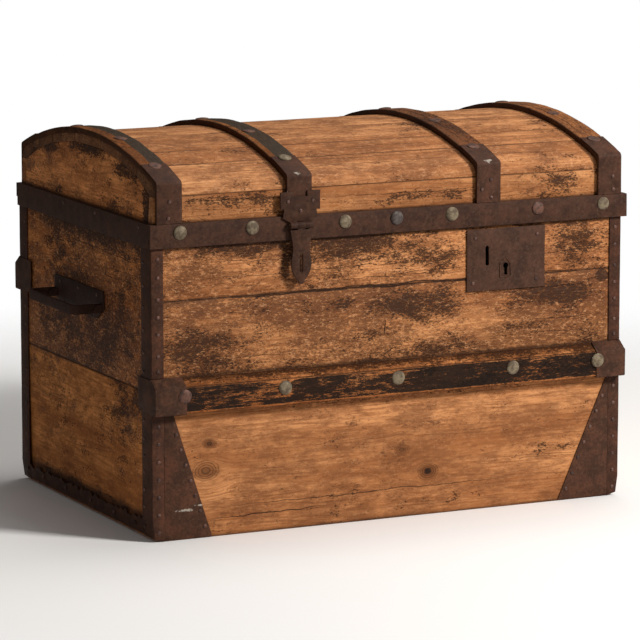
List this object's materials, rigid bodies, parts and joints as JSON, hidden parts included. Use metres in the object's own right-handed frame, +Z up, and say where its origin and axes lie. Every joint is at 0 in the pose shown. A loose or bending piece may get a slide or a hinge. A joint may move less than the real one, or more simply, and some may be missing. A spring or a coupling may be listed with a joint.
{
  "type": "travel chest",
  "caption": "Dome-top wooden chest with a hinged lid, bent slats, iron corners, a hasp, a lock plate and end handles.",
  "frame": {"origin": "on the floor under the middle of the chest", "axes": "+X along the length to the right end, +Y to the back, +Z up; the front with the lock faces -Y"},
  "size_m": [0.876, 0.558, 0.5795],
  "materials": {
    "pine_wood": "worn, stained and soiled",
    "painted_wood": "black paint worn through at the edges",
    "slat_wood": "worn grey-green paint on bare wood",
    "rusted_iron": "rusty sheet iron",
    "nail_metal": "dull tarnished metal"
  },
  "bodies": {
    "chest_body": {"back_batten": "painted_wood", "back_board_lower": "pine_wood", "back_board_middle": "pine_wood", "back_board_upper": "pine_wood", "base_strap_left": "rusted_iron", "base_strap_right": "rusted_iron", "batten_caps": "rusted_iron", "corner_angle_back_left": "rusted_iron", "corner_angle_back_right": "rusted_iron", "corner_angle_front_left": "rusted_iron", "corner_angle_front_right": "rusted_iron", "corner_feet": "rusted_iron", "floor_board_front": "pine_wood", "floor_board_rear": "pine_wood", "front_batten": "painted_wood", "front_board_lower": "pine_wood", "front_board_middle": "pine_wood", "front_board_upper": "pine_wood", "handle_plate_left": "rusted_iron", "handle_plate_right": "rusted_iron", "hinge_lower_leaves": "rusted_iron", "hinge_pins": "rusted_iron", "large_nails_body": "nail_metal", "left_end_board_lower": "pine_wood", "left_end_board_upper": "pine_wood", "lock_case": "rusted_iron", "lock_plate": "rusted_iron", "right_end_board_lower": "pine_wood", "right_end_board_upper": "pine_wood", "small_nails_body": "nail_metal"},
    "lid": {"hasp_pin": "rusted_iron", "hasp_plate": "rusted_iron", "hinge_upper_leaves": "rusted_iron", "large_nails_lid": "nail_metal", "lid_back_board": "pine_wood", "lid_band_back": "rusted_iron", "lid_band_front": "rusted_iron", "lid_band_left": "rusted_iron", "lid_band_right": "rusted_iron", "lid_end_board_left": "pine_wood", "lid_end_board_right": "pine_wood", "lid_front_board": "pine_wood", "lid_slat_1": "slat_wood", "lid_slat_2": "slat_wood", "lid_slat_3": "slat_wood", "lid_slat_4": "slat_wood", "lid_stave_1": "pine_wood", "lid_stave_2": "pine_wood", "lid_stave_3": "pine_wood", "lid_stave_4": "pine_wood", "lid_stave_5": "pine_wood", "lid_stave_6": "pine_wood", "lid_stave_7": "pine_wood", "slat_caps": "rusted_iron", "small_nails_lid": "nail_metal"},
    "lock_bolt": {"lock_bolt": "rusted_iron"},
    "handle_bail_left": {"handle_bail_left": "rusted_iron"},
    "handle_bail_right": {"handle_bail_right": "rusted_iron"},
    "hasp_tongue": {"hasp_tongue": "rusted_iron"}
  },
  "joints": [
    {"name": "lid_hinge", "type": "hinge", "parent": "chest_body", "child": "lid", "pos_m": [0, 0.262, 0.447], "axis": [-1, 0, 0], "range_deg": [0, 100]},
    {"name": "hasp_hinge", "type": "hinge", "parent": "lid", "child": "hasp_tongue", "pos_m": [-0.155, -0.268, 0.456], "axis": [-1, 0, 0], "range_deg": [-4, 150]},
    {"name": "handle_left_swing", "type": "hinge", "parent": "chest_body", "child": "handle_bail_left", "pos_m": [-0.3985, 0.017, 0.32], "axis": [0, -1, 0], "range_deg": [0, 85]},
    {"name": "handle_right_swing", "type": "hinge", "parent": "chest_body", "child": "handle_bail_right", "pos_m": [0.3985, 0.017, 0.32], "axis": [0, 1, 0], "range_deg": [0, 85]},
    {"name": "lock_bolt_slide", "type": "slide", "parent": "chest_body", "child": "lock_bolt", "axis": [-1, 0, 0], "range_m": [0, 0.014]}
  ]
}
